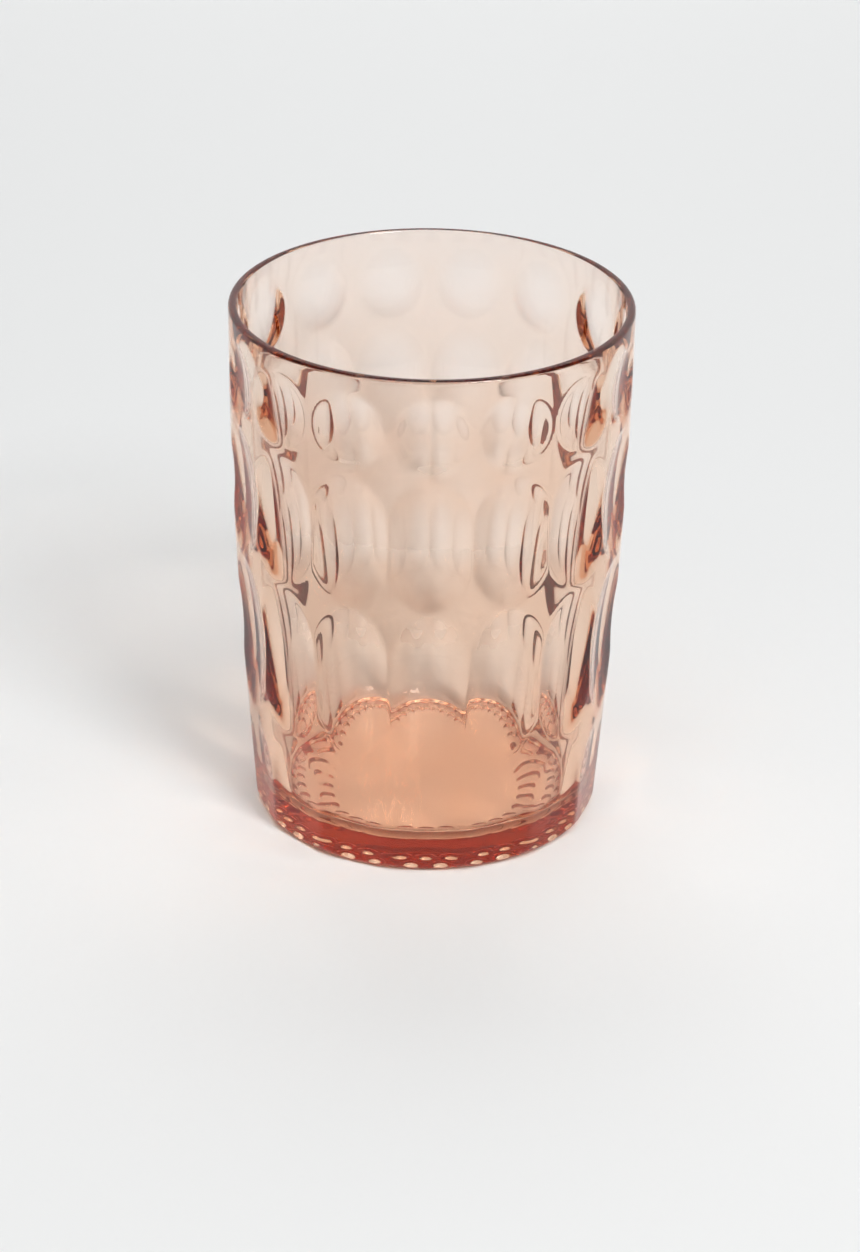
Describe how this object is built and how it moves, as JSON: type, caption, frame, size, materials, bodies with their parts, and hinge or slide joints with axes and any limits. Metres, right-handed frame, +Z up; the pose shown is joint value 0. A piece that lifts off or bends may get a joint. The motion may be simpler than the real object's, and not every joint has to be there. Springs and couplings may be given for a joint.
{
  "type": "bathroom tumbler",
  "caption": "Clear rose-tinted bathroom tumbler with a thin rim, stacked thumbprint hollows and flutes round its tapered wall, and a dimpled base to stand on.",
  "frame": {"origin": "centre of the foot, on the plane that the tumbler stands on", "axes": "+Z up the tumbler's axis towards the rim; one column of the pattern faces -Y"},
  "size_m": [0.0808, 0.0808, 0.11],
  "materials": {
    "tinted_acrylic": "clear, polished, tinted through"
  },
  "bodies": {
    "root": {"wall": "tinted_acrylic", "base": "tinted_acrylic"}
  },
  "joints": []
}
